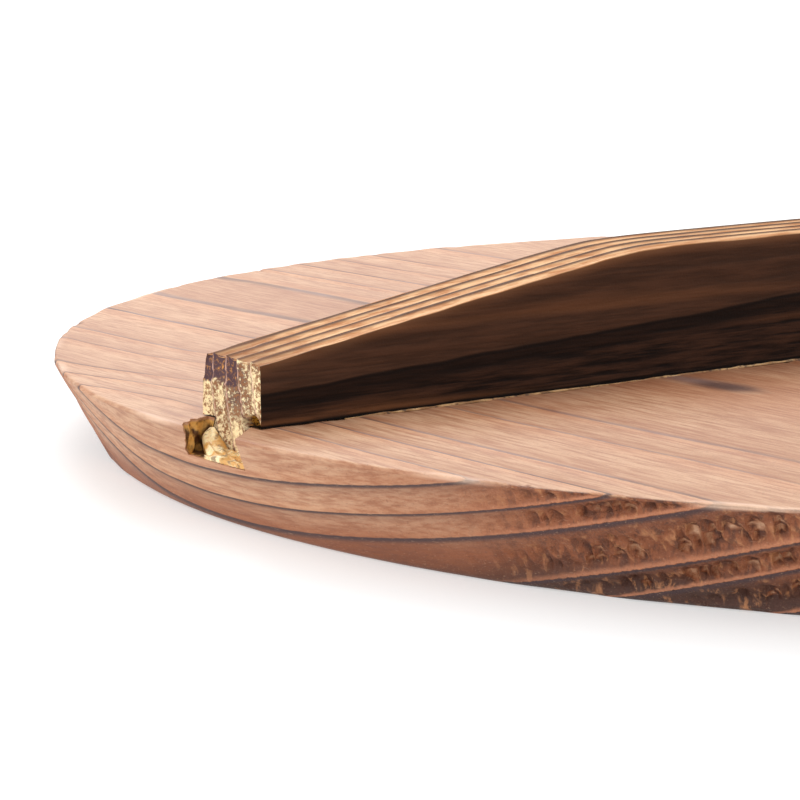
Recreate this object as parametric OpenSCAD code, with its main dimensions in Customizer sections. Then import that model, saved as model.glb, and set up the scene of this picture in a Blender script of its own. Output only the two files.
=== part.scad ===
// Round wooden pan lid with a bar handle on a sliding dovetail.
// Three edge-jointed boards are pinned with bamboo dowels. The bar handle crosses all three
// seams and its dovetail tongue is glued into a socket cut across the top face.
// Frame: origin at the centre of the underside, +Z up, the handle along X, the grain of the boards along Y.

/* [Lid] */
// Diameter over the rim of the top face
lid_d = 360; // [300:5:432]
// Thickness of the boards
lid_t = 17; // [14:0.5:21]
// How far the edge of the underside lies inside the rim
bevel_run = 8.8; // [4:0.2:14]
// Width of the eased edge at the rim
rim_ease = 0.8; // [0.4:0.1:1.5]
// Width of the middle board, seam to seam
middle_board_w = 120; // [90:2:150]

/* [Dowels] */
// Diameter of the bamboo dowels
dowel_d = 6; // [4:0.5:8]
// Length of the bamboo dowels
dowel_len = 40; // [24:1:60]
// Distance of the inner dowels from the handle's centre line
dowel_inner_y = 50; // [30:1:70]
// Distance of the outer dowels from the end of their seam
dowel_end_margin = 35; // [20:1:50]
// Radial gap between a dowel and its hole
dowel_gap = 0.05; // [0.02:0.01:0.15]
// Spare depth at each end of a dowel hole
dowel_hole_spare = 1; // [0.5:0.5:3]
// Width of the chamfer on the ends of a dowel
dowel_chamfer = 0.6; // [0.2:0.1:1]

/* [Handle] */
// Width of the bar
handle_w = 17.5; // [14:0.5:24]
// Height of the bar above the lid at its ends
handle_end_h = 10.5; // [8:0.5:14]
// Height of the bar above the lid along its level middle
handle_mid_h = 23.5; // [16:0.5:32]
// Length of the level stretch of the top
handle_level = 188; // [120:2:226]
// Distance from the rim to each end of the bar
handle_setback = 8; // [5:0.5:14]
// Radius that blends each slope into the level stretch
knee_r = 80; // [20:5:120]
// Height above the lid where the end face steps back
end_step_h = 5.8; // [4:0.1:7]
// Depth of the step in the end face
end_step = 0.9; // [0.3:0.1:1.5]
// How far the end face leans back above the step
end_lean = 0.6; // [0:0.1:1.5]

/* [Dovetail] */
// Depth of the socket in the top face
socket_depth = 5.5; // [4:0.25:8]
// Width of the tongue where it leaves the bar
tongue_neck_w = 10.4; // [8:0.2:12]
// Width of the tongue at its base
tongue_base_w = 15; // [13:0.2:17]
// Gap between the tongue and its socket on every side
joint_gap = 0.12; // [0.05:0.01:0.25]

/* [Glue] */
// Thickness of the cured glue on the floor of the socket's mouths
glue_floor_t = 0.9; // [0.5:0.1:1.5]
// Leg of the squeezed-out bead along the foot of the bar
glue_bead = 0.9; // [0.5:0.1:1.5]

/* [Hidden] */
$fn = 96;
SIDES = ["left", "right"];
DOWEL_NODES = [for (s = SIDES, i = [1:4]) str("dowel_", s, "_", i)];

rim_r = lid_d / 2;
foot_r = rim_r - bevel_run;
seam_x = middle_board_w / 2;
seam_half = sqrt(pow(foot_r, 2) - pow(seam_x, 2));
dowel_outer_y = seam_half - dowel_end_margin;
dowel_rows = [-dowel_outer_y, -dowel_inner_y, dowel_inner_y, dowel_outer_y];
dowel_z = lid_t / 2;

handle_end_x = rim_r - handle_setback;
level_x = handle_level / 2;
slope = atan((handle_mid_h - handle_end_h) / (handle_end_x - end_step - end_lean - level_x));
knee_reach = min(knee_r * tan(slope / 2), level_x / 2);
knee_radius = knee_reach / tan(slope / 2);
knee_steps = 6;

socket_floor = lid_t - socket_depth;
socket_neck_w = tongue_neck_w + 2 * joint_gap;
socket_base_w = tongue_base_w + 2 * joint_gap;
tongue_foot = socket_floor + joint_gap;
cut = 1;

wood_pale = [0.78, 0.53, 0.36];
wood_scorched = [0.24, 0.15, 0.10];
bamboo = [0.86, 0.74, 0.48];
amber = [0.80, 0.58, 0.26];

function side_sign(side) = side == "left" ? -1 : 1;

// Disc with the bevelled edge that seats in a pan.
module lid_blank() {
    rotate_extrude($fn = 180)
        polygon([
            [0, 0],
            [foot_r, 0],
            [rim_r, lid_t - rim_ease],
            [rim_r - rim_ease, lid_t],
            [0, lid_t]
        ]);
}

// Cross-section of a dovetail from z = foot up to z = neck, with its widths there.
module dovetail_section(neck_w, base_w, foot, neck) {
    polygon([
        [-base_w / 2, foot],
        [base_w / 2, foot],
        [neck_w / 2, neck],
        [-neck_w / 2, neck]
    ]);
}

// A cross-section in Y and Z, pushed along X from x0 to x1.
module along_x(x0, x1) {
    translate([x0, 0, 0])
        rotate([90, 0, 90])
            linear_extrude(x1 - x0)
                children();
}

// Dovetail socket, stopped at the left end of the handle and run out through the right rim.
module socket() {
    flare = (socket_base_w - socket_neck_w) / 2 / socket_depth;
    along_x(-handle_end_x - joint_gap, rim_r + cut)
        dovetail_section(
            socket_neck_w - 2 * flare * cut,
            socket_base_w,
            socket_floor,
            lid_t + cut
        );
}

// Plan of the mouth that broke out between the stopped end of the socket and the left rim.
// side_in draws it smaller on every side, for the glue that lies in it.
module mouth_plan(side_in) {
    near = socket_neck_w / 2;
    far = socket_base_w / 2;
    polygon([
        [-handle_end_x + cut, -near + side_in],
        [-handle_end_x - 3, -near - 2.5 + side_in],
        [-rim_r + 0.6, -near - 9 + side_in],
        [-rim_r - 2 * cut, -near - 10 + side_in],
        [-rim_r - 2 * cut, 1 - side_in],
        [-rim_r, 1.6 - side_in],
        [-rim_r + 3, 3.4 - side_in],
        [-handle_end_x - 2, far - side_in],
        [-handle_end_x + cut, far - side_in]
    ]);
}

module mouth() {
    translate([0, 0, socket_floor])
        linear_extrude(socket_depth + cut)
            mouth_plan(0);
}

// One row of the four dowel positions of a seam, at both sides of it.
module at_dowel(side, row) {
    translate([side_sign(side) * seam_x, dowel_rows[row], dowel_z])
        rotate([0, 90, 0])
            children();
}

module dowel_holes() {
    depth = dowel_len + 2 * dowel_hole_spare;
    for (side = SIDES, row = [0:3])
        at_dowel(side, row)
            cylinder(h = depth, d = dowel_d + 2 * dowel_gap, center = true, $fn = 48);
}

// The part of the lid between two values of x, with its socket and dowel holes.
module board(x0, x1) {
    color(wood_pale)
        difference() {
            intersection() {
                lid_blank();
                translate([x0, -rim_r - cut, -cut])
                    cube([x1 - x0, 2 * (rim_r + cut), lid_t + 2 * cut]);
            }
            socket();
            mouth();
            dowel_holes();
        }
}

module board_left() { board(-rim_r - cut, -seam_x); }
module board_middle() { board(-seam_x, seam_x); }
module board_right() { board(seam_x, rim_r + cut); }

module dowel(side, row) {
    straight = dowel_len - 2 * dowel_chamfer;
    tip_d = dowel_d - 2 * dowel_chamfer;
    color(bamboo)
        at_dowel(side, row) {
            cylinder(h = straight, d = dowel_d, center = true, $fn = 48);
            for (end = [0, 1])
                mirror([0, 0, end])
                    translate([0, 0, straight / 2])
                        cylinder(h = dowel_chamfer, d1 = dowel_d, d2 = tip_d, $fn = 48);
        }
}

// Points of the arc that blends the right slope into the level top, from the slope's end.
function knee_points() = [
    for (i = [0:knee_steps])
        let (turn = slope * (1 - i / knee_steps))
            [
                level_x - knee_reach + knee_radius * sin(turn),
                lid_t + handle_mid_h - knee_radius * (1 - cos(turn))
            ]
];

// Right half of the bar's side outline in X and Z, from the foot of its end to the level top.
function half_outline() = concat(
    [
        [handle_end_x, lid_t],
        [handle_end_x, lid_t + end_step_h],
        [handle_end_x - end_step, lid_t + end_step_h],
        [handle_end_x - end_step - end_lean, lid_t + handle_end_h]
    ],
    knee_points()
);

function mirrored(points) = [
    for (i = [len(points) - 1:-1:0])
        [-points[i][0], points[i][1]]
];

// Bar with sloping ends on a dovetail tongue.
module handle_bar() {
    color(wood_scorched)
        union() {
            translate([0, handle_w / 2, 0])
                rotate([90, 0, 0])
                    linear_extrude(handle_w)
                        polygon(concat(half_outline(), mirrored(half_outline())));
            along_x(-handle_end_x, handle_end_x)
                dovetail_section(tongue_neck_w, tongue_base_w, tongue_foot, lid_t);
        }
}

// Glue that set on the floor of the broken-out left mouth.
module glue_plug_left() {
    color(amber)
        intersection() {
            translate([0, 0, socket_floor])
                linear_extrude(glue_floor_t)
                    difference() {
                        mouth_plan(joint_gap);
                        translate([-handle_end_x - joint_gap, -handle_w])
                            square([handle_setback, 2 * handle_w]);
                    }
            cylinder(h = lid_t, r1 = foot_r, r2 = rim_r, $fn = 180);
        }
}

// Glue that set on the floor of the socket's open right end.
module glue_plug_right() {
    color(amber)
        intersection() {
            along_x(handle_end_x + joint_gap, rim_r)
                dovetail_section(
                    tongue_base_w - glue_floor_t,
                    tongue_base_w,
                    socket_floor,
                    socket_floor + glue_floor_t
                );
            cylinder(h = lid_t, r1 = foot_r, r2 = rim_r, $fn = 180);
        }
}

// Squeezed-out bead along the foot of the bar, on the side that sign gives.
module glue_bead(sign) {
    half = handle_end_x - 2 * handle_setback;
    color(amber)
        along_x(-half, half)
            polygon([
                [sign * handle_w / 2, lid_t],
                [sign * (handle_w / 2 + glue_bead), lid_t],
                [sign * handle_w / 2, lid_t + glue_bead]
            ]);
}

module glue_bead_front() { glue_bead(-1); }
module glue_bead_back() { glue_bead(1); }

board_left();
board_middle();
board_right();
handle_bar();
for (side = SIDES, row = [0:3])
    dowel(side, row);
glue_plug_left();
glue_plug_right();
glue_bead_front();
glue_bead_back();
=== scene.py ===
"""A round scorched-fir pan lid with a dovetailed bar handle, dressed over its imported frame."""

import logging
import math
from dataclasses import dataclass
from enum import Enum

import bmesh
import bpy
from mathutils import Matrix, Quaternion, Vector, noise


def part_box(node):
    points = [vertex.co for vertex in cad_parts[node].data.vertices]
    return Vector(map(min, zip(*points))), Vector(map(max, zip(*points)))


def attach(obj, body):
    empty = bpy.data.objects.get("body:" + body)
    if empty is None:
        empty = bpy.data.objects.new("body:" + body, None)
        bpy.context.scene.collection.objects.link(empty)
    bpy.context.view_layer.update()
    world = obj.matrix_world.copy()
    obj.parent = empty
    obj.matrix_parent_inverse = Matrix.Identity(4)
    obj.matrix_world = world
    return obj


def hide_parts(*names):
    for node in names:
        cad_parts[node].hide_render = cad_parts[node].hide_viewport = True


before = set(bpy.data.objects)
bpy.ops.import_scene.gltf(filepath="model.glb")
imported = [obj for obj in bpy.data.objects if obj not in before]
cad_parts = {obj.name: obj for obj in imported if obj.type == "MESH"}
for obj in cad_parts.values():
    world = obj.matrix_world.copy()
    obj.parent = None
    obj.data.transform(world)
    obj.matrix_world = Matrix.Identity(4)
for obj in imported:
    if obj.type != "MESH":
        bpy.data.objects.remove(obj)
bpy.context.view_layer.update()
MM = 0.001
TINY = 1e-6  # Places nearer than this, in metres, count as one.
SHARP = 38.0  # Edges that turn by more than this many degrees stay sharp.
FIRST_RING = 50.0  # Ring count of the first edge in a list, high enough to keep all counts above 0.
LOG = logging.getLogger("pan_lid")
Socket = bpy.types.NodeSocket
Colour = tuple[float, float, float]
Scale = tuple[float, float, float]


class Grain(Enum):
    """The way the fibres run."""

    ALONG_X = 0
    ALONG_Y = 1


class Face(Enum):
    """A side of the bar handle, by the sign of its Y."""

    FRONT = -1
    BACK = 1


def smooth(low: float, high: float, value: float) -> float:
    """Eased step.

    Args:
        low: Value at which the result is 0.
        high: Value at which the result is 1.
        value: Value to place between the two.

    Returns:
        A number from 0 to 1.
    """
    t = min(1.0, max(0.0, (value - low) / (high - low)))
    return t * t * (3.0 - 2.0 * t)


def lerp(a: float, b: float, t: float) -> float:
    """Straight blend from a at t = 0 to b at t = 1."""
    return a + (b - a) * t


def drift(x: float, y: float, z: float) -> float:
    """Smooth noise from -1 to 1 at a place."""
    return noise.noise(Vector((x, y, z)))


def srgb(red: int, green: int, blue: int) -> Colour:
    """Linear colour of an 8-bit display colour.

    Args:
        red: Red from 0 to 255.
        green: Green from 0 to 255.
        blue: Blue from 0 to 255.

    Returns:
        The three linear channels.
    """

    def linear(channel: int) -> float:
        """Linear value of one display channel."""
        c = channel / 255.0
        return c / 12.92 if c <= 0.04045 else ((c + 0.055) / 1.055) ** 2.4

    return linear(red), linear(green), linear(blue)


# ---------------------------------------------------------------- growth rings


@dataclass(frozen=True)
class GrowthRings:
    """Growth rings round a pith that runs along the fibres.

    Each whole number of the ring count is the dark outer edge of one year's growth.

    Args:
        grain: The way the fibres run.
        pith_across: Place of the pith across the fibres.
        pith_z: Height of the pith, below the lid for a board.
        edges: Radii of the ring edges that are set one by one.
        spacing: Width of a year's growth inside and outside those edges.
        sway: How far the rings wander along the fibres.
        seed: Picks the noise.
        swing: How far the rings bend outwards towards the positive end of the fibres.
        swing_from: Place along the fibres at which they begin to bend.
        swing_to: Place along the fibres at which they have bent fully.
    """

    grain: Grain
    pith_across: float
    pith_z: float
    edges: tuple[float, ...]
    spacing: float
    sway: float
    seed: float
    swing: float = 0.0
    swing_from: float = 20 * MM
    swing_to: float = 75 * MM

    def count_at(self, point: Vector) -> float:
        """Ring count at a point of the wood.

        Args:
            point: Place in the lid's frame, in metres.

        Returns:
            Whole at each ring edge and rising evenly between two edges.
        """
        along, across = (point.x, point.y) if self.grain is Grain.ALONG_X else (point.y, point.x)
        wave = drift(along * 11.0, across * 5.0, self.seed)
        ripple = drift(along * 60.0, across * 25.0, self.seed + 9.0)
        radius = math.hypot(across - self.pith_across, point.z - self.pith_z)
        radius += self.sway * (wave + 0.09 * ripple)
        radius -= self.swing * smooth(self.swing_from, self.swing_to, along)
        first, last = self.edges[0], self.edges[-1]
        if radius <= first:
            return FIRST_RING - (first - radius) / self.spacing
        if radius >= last:
            return FIRST_RING + len(self.edges) - 1 + (radius - last) / self.spacing
        step = next(i for i in range(1, len(self.edges)) if radius < self.edges[i])
        low, high = self.edges[step - 1], self.edges[step]
        return FIRST_RING + step - 1 + (radius - low) / (high - low)

    def proud(self, point: Vector) -> float:
        """How proud the brushed surface stands, from 0 in early wood to 1 on the late wood."""
        part = self.count_at(point) % 1.0
        return smooth(0.45, 0.93, part) * (1.0 - smooth(0.975, 1.0, part))

    def shoulder(self, point: Vector, reach: float) -> float:
        """How near the late wood lies, from 0 to 1, with a slope on both sides of the ring's edge.

        Args:
            point: Place in the lid's frame, in metres.
            reach: How far the slopes reach, as a share of a year's growth.

        Returns:
            1 at the ring's edge and 0 in the early wood.
        """
        part = self.count_at(point) % 1.0
        return max(smooth(0.8 - 1.6 * reach, 0.92, part), 1.0 - smooth(0.0, reach, part))


LEFT_RINGS = GrowthRings(
    Grain.ALONG_Y, pith_across=-87 * MM, pith_z=-82 * MM,
    edges=(94.0 * MM, 98.5 * MM, 105.9 * MM, 110.2 * MM, 119.0 * MM, 123.3 * MM, 128.5 * MM, 138.0 * MM),
    spacing=5.5 * MM, sway=1.1 * MM, seed=3.0, swing=6 * MM,
)
MIDDLE_RINGS = GrowthRings(
    Grain.ALONG_Y, pith_across=22 * MM, pith_z=-64 * MM,
    edges=(72 * MM, 79 * MM, 84.5 * MM, 93 * MM, 99 * MM),
    spacing=7.5 * MM, sway=1.6 * MM, seed=17.0,
)
RIGHT_RINGS = GrowthRings(
    Grain.ALONG_Y, pith_across=96 * MM, pith_z=-70 * MM,
    edges=(80 * MM, 86.5 * MM, 91 * MM, 99 * MM, 104 * MM),
    spacing=6.2 * MM, sway=1.3 * MM, seed=31.0,
)
BAR_RINGS = GrowthRings(
    Grain.ALONG_X, pith_across=-60 * MM, pith_z=34 * MM,
    edges=(54.9 * MM, 58.9 * MM, 63.1 * MM, 67.1 * MM),
    spacing=4.1 * MM, sway=0.35 * MM, seed=47.0,
)


# ---------------------------------------------------------------- mesh helpers


def finish_mesh(name: str, shape: bmesh.types.BMesh, sharp_degrees: float = SHARP) -> bpy.types.Object:
    """Turns a bmesh into a linked object that is smooth but for its true edges.

    Args:
        name: Name of the piece.
        shape: Finished bmesh, which is freed.
        sharp_degrees: Edges that turn by more than this stay sharp.

    Returns:
        The new object.
    """
    mesh = bpy.data.meshes.new(name)
    shape.to_mesh(mesh)
    shape.free()
    piece = bpy.data.objects.new(name, mesh)
    bpy.context.scene.collection.objects.link(piece)
    mesh.shade_smooth()
    mesh.set_sharp_from_angle(angle=math.radians(sharp_degrees))
    return piece


def close_mesh(name: str, shape: bmesh.types.BMesh, sharp_degrees: float = SHARP) -> bpy.types.Object:
    """Turns the faces of a closed bmesh outwards and makes an object of it.

    Args:
        name: Name of the piece.
        shape: Closed bmesh, which is freed.
        sharp_degrees: Edges that turn by more than this stay sharp.

    Returns:
        The new object.
    """
    bmesh.ops.recalc_face_normals(shape, faces=shape.faces)
    if shape.calc_volume(signed=True) < 0:
        bmesh.ops.reverse_faces(shape, faces=shape.faces)
    return finish_mesh(name, shape, sharp_degrees)


def cut_away(piece: bpy.types.Object, cutters: list[bpy.types.Object]) -> None:
    """Subtracts cutters from a piece for good and removes them.

    Args:
        piece: Closed piece to cut.
        cutters: Closed objects to take out of it.
    """
    for cutter in cutters:
        step = piece.modifiers.new("cut", "BOOLEAN")
        step.operation = "DIFFERENCE"
        step.solver = "MANIFOLD"
        step.object = cutter
    graph = bpy.context.evaluated_depsgraph_get()
    mesh = bpy.data.meshes.new_from_object(piece.evaluated_get(graph), depsgraph=graph)
    piece.modifiers.clear()
    old = piece.data
    piece.data = mesh
    bpy.data.meshes.remove(old)
    mesh.name = piece.name
    mesh.shade_smooth()
    mesh.set_sharp_from_angle(angle=math.radians(SHARP))
    for cutter in cutters:
        bpy.data.objects.remove(cutter)


def write_attribute(piece: bpy.types.Object, name: str, values: list[float]) -> None:
    """Stores one number for each vertex, for the material to read.

    Args:
        piece: Object whose mesh gets it.
        name: Name of the attribute.
        values: One number for each vertex, in order.
    """
    layer = piece.data.attributes.new(name, "FLOAT", "POINT")
    layer.data.foreach_set("value", values)


def lattice_box(cuts_x: int, cuts_y: int, cuts_z: int) -> bmesh.types.BMesh:
    """A unit box from 0 to 1 on each axis, with its faces divided into a grid.

    Args:
        cuts_x: Cuts across the edges along X.
        cuts_y: Cuts across the edges along Y.
        cuts_z: Cuts across the edges along Z.

    Returns:
        The divided box.
    """
    shape = bmesh.new()
    bmesh.ops.create_cube(shape, size=1.0)
    bmesh.ops.translate(shape, verts=shape.verts, vec=(0.5, 0.5, 0.5))
    for axis, cuts in enumerate((cuts_x, cuts_y, cuts_z)):
        along = [e for e in shape.edges if abs(e.verts[0].co[axis] - e.verts[1].co[axis]) > TINY]
        bmesh.ops.subdivide_edges(shape, edges=along, cuts=cuts, use_grid_fill=True)
    return shape


def prism(name: str, section: list[tuple[float, float]], start: float, stop: float) -> bpy.types.Object:
    """A straight prism along X, used as a cutter.

    Args:
        name: Name of the object.
        section: Corners in Y and Z, in metres.
        start: X of one end.
        stop: X of the other end.

    Returns:
        The closed prism.
    """
    shape = bmesh.new()
    ring = [shape.verts.new((start, y, z)) for y, z in section]
    cap = shape.faces.new(ring)
    grown = bmesh.ops.extrude_face_region(shape, geom=[cap])
    moved = [g for g in grown["geom"] if isinstance(g, bmesh.types.BMVert)]
    bmesh.ops.translate(shape, verts=moved, vec=(stop - start, 0, 0))
    return close_mesh(name, shape)


# ---------------------------------------------------------------- the lid's boards


@dataclass(frozen=True)
class LidSizes:
    """Sizes that the boards share, in metres."""

    rim_r: float
    thickness: float
    seam_x: float
    bevel_run: float = 8.8 * MM
    rim_ease: float = 0.8 * MM
    foot_ease: float = 0.5 * MM
    socket_depth: float = 5.5 * MM
    socket_neck: float = 10.64 * MM
    socket_base: float = 15.24 * MM
    handle_reach: float = 172 * MM
    dowel_r: float = 3.05 * MM
    dowel_hole: float = 42 * MM

    @property
    def foot_r(self) -> float:
        """Radius of the underside."""
        return self.rim_r - self.bevel_run

    @property
    def socket_floor(self) -> float:
        """Height of the floor of the dovetail socket."""
        return self.thickness - self.socket_depth

    def edge_r(self, z: float) -> float:
        """Radius of the bevel at a height."""
        return self.foot_r + self.bevel_run * z / (self.thickness - self.rim_ease)


@dataclass
class Board:
    """One board of the lid: turned as part of a disc, sawn at its seams, brushed and cut.

    Args:
        node: Frame node that the board replaces.
        sizes: Sizes of the lid.
        rings: Growth rings of its wood.
        start_deg: Angle at which the outline's sweep begins.
        sweep_deg: Angle that the sweep covers.
        steps: Steps round the sweep.
        inner_r: Radius at which the flat faces begin, inside the seam.
        top_rows: Rows of faces on the top.
        bevel_rows: Rows of faces down the bevel.
        under_rows: Rows of faces on the underside.
        brushed: Depth of the early wood on the top.
        brushed_edge: Depth of the early wood on the bevel.
        chip_depth: Depth of the deepest chip.
        chip_crest: Chip share that counts as the bottom of a chip.
        whole: Torn share of wood that is not torn.
        soft_cut: Depth of the soft waves that brushing leaves.
        seam_cut: Depth to which the arris of a seam is worn.
        nick_cut: Depth of the nicks along the rim.
    """

    node: str
    sizes: LidSizes
    rings: GrowthRings
    start_deg: float
    sweep_deg: float
    steps: int
    inner_r: float
    top_rows: int
    bevel_rows: int
    under_rows: int = 24
    brushed: float = 0.16 * MM
    brushed_edge: float = 0.34 * MM
    chip_depth: float = 1.3 * MM
    chip_crest: float = 1.2
    whole: float = 0.4
    soft_cut: float = 0.1 * MM
    seam_cut: float = 0.22 * MM
    nick_cut: float = 0.28 * MM

    def profile(self) -> list[tuple[float, float]]:
        """Radius and height of the turned outline, from the top's middle to the underside's."""
        s = self.sizes
        flat_r, ease, foot = s.rim_r - s.rim_ease, s.rim_ease, s.foot_ease
        top = [(lerp(self.inner_r, flat_r, i / self.top_rows), s.thickness) for i in range(self.top_rows)]
        turn = [math.radians(a) for a in (0, 22, 45, 68, 90)]
        rim = [(flat_r + ease * math.sin(a), s.thickness - ease + ease * math.cos(a)) for a in turn]
        drop = s.thickness - ease - foot
        heights = [foot + drop * (1 - i / self.bevel_rows) for i in range(1, self.bevel_rows + 1)]
        bevel = [(s.edge_r(z), z) for z in heights]
        under = [(lerp(s.foot_r - foot, self.inner_r, i / self.under_rows), 0.0)
                 for i in range(self.under_rows + 1)]
        return top + rim + bevel + under

    def turned(self) -> bmesh.types.BMesh:
        """Sweeps the outline round the lid's axis and saws the board at its seams.

        Returns:
            The blank, still open at its seams.
        """
        shape = bmesh.new()
        outline = self.profile()
        rows = len(outline) - 1
        bmesh.ops.create_grid(shape, x_segments=self.steps, y_segments=rows, size=0.5)
        for vert in shape.verts:
            turn = math.radians(self.start_deg + self.sweep_deg * (vert.co.x + 0.5))
            r, z = outline[round((vert.co.y + 0.5) * rows)]
            vert.co = Vector((r * math.cos(turn), r * math.sin(turn), z))
        bmesh.ops.remove_doubles(shape, verts=shape.verts, dist=TINY)
        low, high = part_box(self.node)
        for x, way in ((low.x, -1), (high.x, 1)):
            if abs(abs(x) - self.sizes.seam_x) < 1 * MM:
                seam = math.copysign(self.sizes.seam_x, x)
                every = shape.verts[:] + shape.edges[:] + shape.faces[:]
                bmesh.ops.bisect_plane(shape, geom=every, dist=0.1 * TINY, plane_co=(seam, 0, 0),
                                       plane_no=(way, 0, 0), clear_outer=True)
        bmesh.ops.recalc_face_normals(shape, faces=shape.faces)
        lowest = min(shape.faces, key=lambda f: f.calc_center_median().z)
        if lowest.normal.z > 0:
            bmesh.ops.reverse_faces(shape, faces=shape.faces)
        return shape

    def end_grain(self, point: Vector) -> float:
        """How much the edge shows end grain there, from 0 beside the fibres to 1 across them."""
        return smooth(0.27, 0.44, abs(point.y) / max(TINY, math.hypot(point.x, point.y)))

    def on_edge(self, point: Vector) -> float:
        """1 on the bevel and 0 on the two flat faces.

        Args:
            point: Place on the board, in metres.

        Returns:
            1.0 or 0.0.
        """
        s = self.sizes
        near = math.hypot(point.x, point.y) - (s.edge_r(point.z) - 2.0 * MM)
        return 1.0 if near > 0 and point.z < s.thickness - 0.3 * MM else 0.0

    def chip(self, point: Vector) -> float:
        """Depth of the torn chips in the end grain, as a share of the deepest.

        Args:
            point: Place on the board, in metres.

        Returns:
            A share from 0 to a little over 1.
        """
        turn = math.atan2(point.y, point.x) * self.sizes.rim_r
        place = Vector((turn * 430.0 + point.z * 380.0, point.z * 520.0, self.rings.seed))
        place += 0.5 * noise.noise_vector(Vector((turn * 420.0, point.z * 420.0, 4.0)))
        spans, cells = noise.voronoi(place)
        chance = noise.cell(cells[0] * 7.3 + Vector((0.5, 0.5, 0.5)))
        scoop = max(0.0, 1.0 - (spans[0] / 0.6) ** 2)
        crest = abs(drift(turn * 520.0 + point.z * 190.0, point.z * 190.0, self.rings.seed))
        fine = 0.5 + 0.5 * drift(turn * 900.0, point.z * 900.0, 8.0)
        return 0.3 * scoop * smooth(-0.1, 0.6, chance) + 0.95 * min(1.0, 3.2 * crest) + 0.2 * fine

    def tearing(self, point: Vector) -> float:
        """Share of tearing: only in end grain between the rings, where the cutter met the fibres head on.

        Args:
            point: Place on the board, in metres.

        Returns:
            A share from 0 to 1.
        """
        turn = math.degrees(math.atan2(point.y, point.x))
        against = smooth(56.0, 36.0, abs((turn + 207.0) % 180.0 - 90.0))
        return self.end_grain(point) * lerp(0.2, 1.0, against) * (1.0 - self.rings.shoulder(point, 0.2))

    def depth(self, point: Vector) -> float:
        """How deep brushing and wear cut below the turned surface at a point.

        Args:
            point: Place on the turned surface.

        Returns:
            Depth in metres.
        """
        s = self.sizes
        soft = 0.5 + 0.5 * drift(point.x * 130.0, point.y * 30.0, point.z * 130.0)
        if self.on_edge(point):
            end = self.end_grain(point)
            valley = 1.0 - self.rings.shoulder(point, 0.16)
            cut = self.brushed_edge * valley * lerp(0.5, 1.0, end) + self.soft_cut * soft
            cut *= lerp(0.25, 1.0, smooth(0.4 * MM, 2.2 * MM, point.z))
            fade = smooth(0.0, 2.0 * MM, point.z) * smooth(s.thickness, s.thickness - 2.5 * MM, point.z)
            return cut + self.chip_depth * fade * self.tearing(point) * self.chip(point)
        if point.z < 1 * MM:
            return 0.0
        valley = 1.0 - self.rings.shoulder(point, 0.28)
        cut = self.brushed * valley + self.soft_cut * soft
        seam = abs(abs(point.x) - s.seam_x)
        cut += self.seam_cut * (1.0 - smooth(0.0, 0.9 * MM, seam))
        rim = math.hypot(point.x, point.y) - (s.rim_r - 2.2 * MM)
        nick = smooth(0.1, 0.7, drift(point.x * 160.0, point.y * 160.0, 5.0))
        return cut + self.nick_cut * nick * smooth(0.0, 2.0 * MM, rim)

    def brush(self, shape: bmesh.types.BMesh) -> None:
        """Sinks each vertex by the depth that brushing and wear reach there.

        Args:
            shape: The blank, which is changed.
        """
        shape.normal_update()
        moves = [(v, v.normal.copy(), self.depth(v.co)) for v in shape.verts]
        for vert, normal, depth in moves:
            if abs(abs(vert.co.x) - self.sizes.seam_x) < TINY:
                normal.x = 0.0
            vert.co -= normal * depth

    def cutters(self) -> list[bpy.types.Object]:
        """The dovetail socket and the dowel holes, as closed cutters."""
        s = self.sizes
        flare = (s.socket_base - s.socket_neck) / 2 / s.socket_depth
        over = 1 * MM
        neck = s.socket_neck / 2 - flare * over
        section = [(-s.socket_base / 2, s.socket_floor), (s.socket_base / 2, s.socket_floor),
                   (neck, s.thickness + over), (-neck, s.thickness + over)]
        made = [prism("socket_cut", section, -s.handle_reach - 0.12 * MM, s.rim_r + over)]
        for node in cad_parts:
            if not node.startswith("dowel_"):
                continue
            low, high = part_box(node)
            shape = bmesh.new()
            turn = Quaternion((0, 1, 0), math.pi / 2).to_matrix().to_4x4()
            bmesh.ops.create_cone(shape, cap_ends=True, segments=48, radius1=s.dowel_r, radius2=s.dowel_r,
                                  depth=s.dowel_hole, matrix=turn)
            bmesh.ops.translate(shape, verts=shape.verts, vec=(low + high) / 2)
            made.append(finish_mesh(f"{node}_hole", shape))
        return made

    def scorch_and_shade_at(self, point: Vector) -> float:
        """How dark the surface is, from 0 for bare wood to 1 for nearly black: scorch, painted shade on
        the bevel towards negative Y, and darker beside the handle's foot, over a middle strip of the top
        and towards the bottom of the bevel.

        Args:
            point: Place on the board, in metres.

        Returns:
            A share from 0 to 1.
        """
        blotch = drift(point.x * 22.0, point.y * 9.0, self.rings.seed)
        small = drift(point.x * 90.0, point.y * 35.0, self.rings.seed + 2.0)
        if self.on_edge(point):
            end = self.end_grain(point)
            low = 1.0 - smooth(0.0, 8 * MM, point.z)
            # Painted shade: the bevel is darkened towards negative Y.
            shaded_side = smooth(-15 * MM, -50 * MM, point.y)
            low *= 0.34 + 0.1 * shaded_side
            return 0.2 + 0.15 * shaded_side + 0.24 * end + low + 0.12 * blotch + 0.06 * small
        if point.z < 1 * MM:
            return 0.12 + 0.1 * blotch
        foot = 1.0 - smooth(8.75 * MM, 22 * MM, abs(point.y))
        middle = smooth(-150 * MM, -100 * MM, point.x) * smooth(150 * MM, 60 * MM, abs(point.y))
        return 0.14 + 0.14 * blotch + 0.08 * small + 0.1 * foot + 0.13 * middle

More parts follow.
